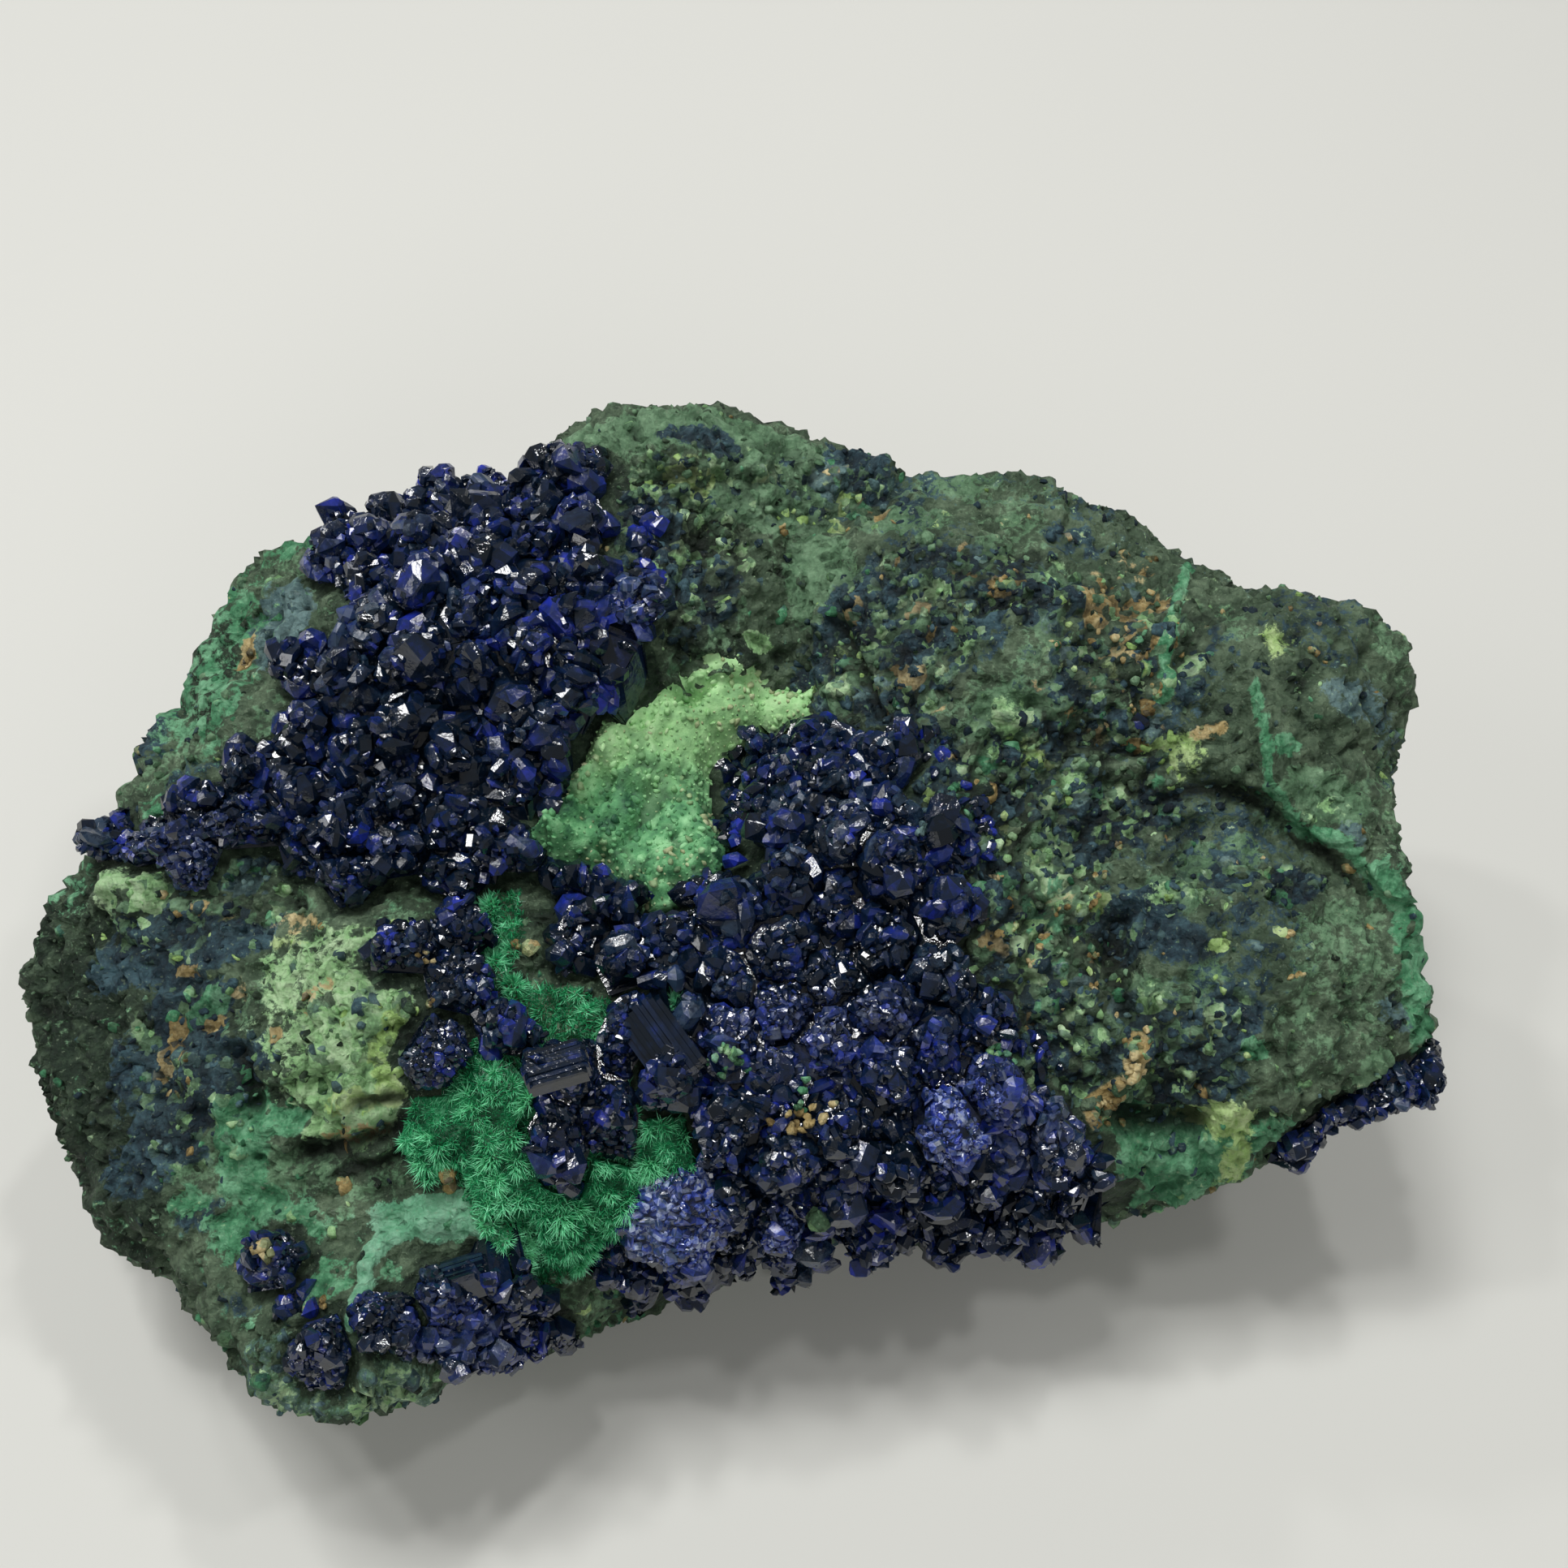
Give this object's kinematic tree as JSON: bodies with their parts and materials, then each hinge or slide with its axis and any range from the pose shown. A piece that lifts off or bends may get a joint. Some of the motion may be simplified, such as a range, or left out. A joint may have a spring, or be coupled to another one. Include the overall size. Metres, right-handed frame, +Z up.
{
  "type": "azurite specimen",
  "caption": "Hand-sized lump of green and brown rock with dark blue azurite crystal crusts and fibrous green malachite, lying on its flat underside.",
  "frame": {"origin": "on the resting plane, under the middle of the specimen's bounding box", "axes": "+X along the specimen's length; +Y towards its thicker back edge; +Z up, out of the side with the crystals"},
  "size_m": [0.1014, 0.07, 0.0418],
  "materials": {
    "rock": "rough",
    "azurite": "glossy",
    "malachite_velvet": "matt, fibrous",
    "malachite_pocket": "matt, granular"
  },
  "bodies": {
    "root": {"rock_matrix": "rock", "azurite_crust": "azurite", "azurite_strip": "azurite", "azurite_group": "azurite", "azurite_corner": "azurite", "azurite_edge": "azurite", "azurite_rosette": "azurite", "azurite_bead_1": "azurite", "azurite_bead_2": "azurite", "azurite_bead_3": "azurite", "malachite_velvet": "malachite_velvet", "malachite_pocket": "malachite_pocket"}
  },
  "joints": []
}
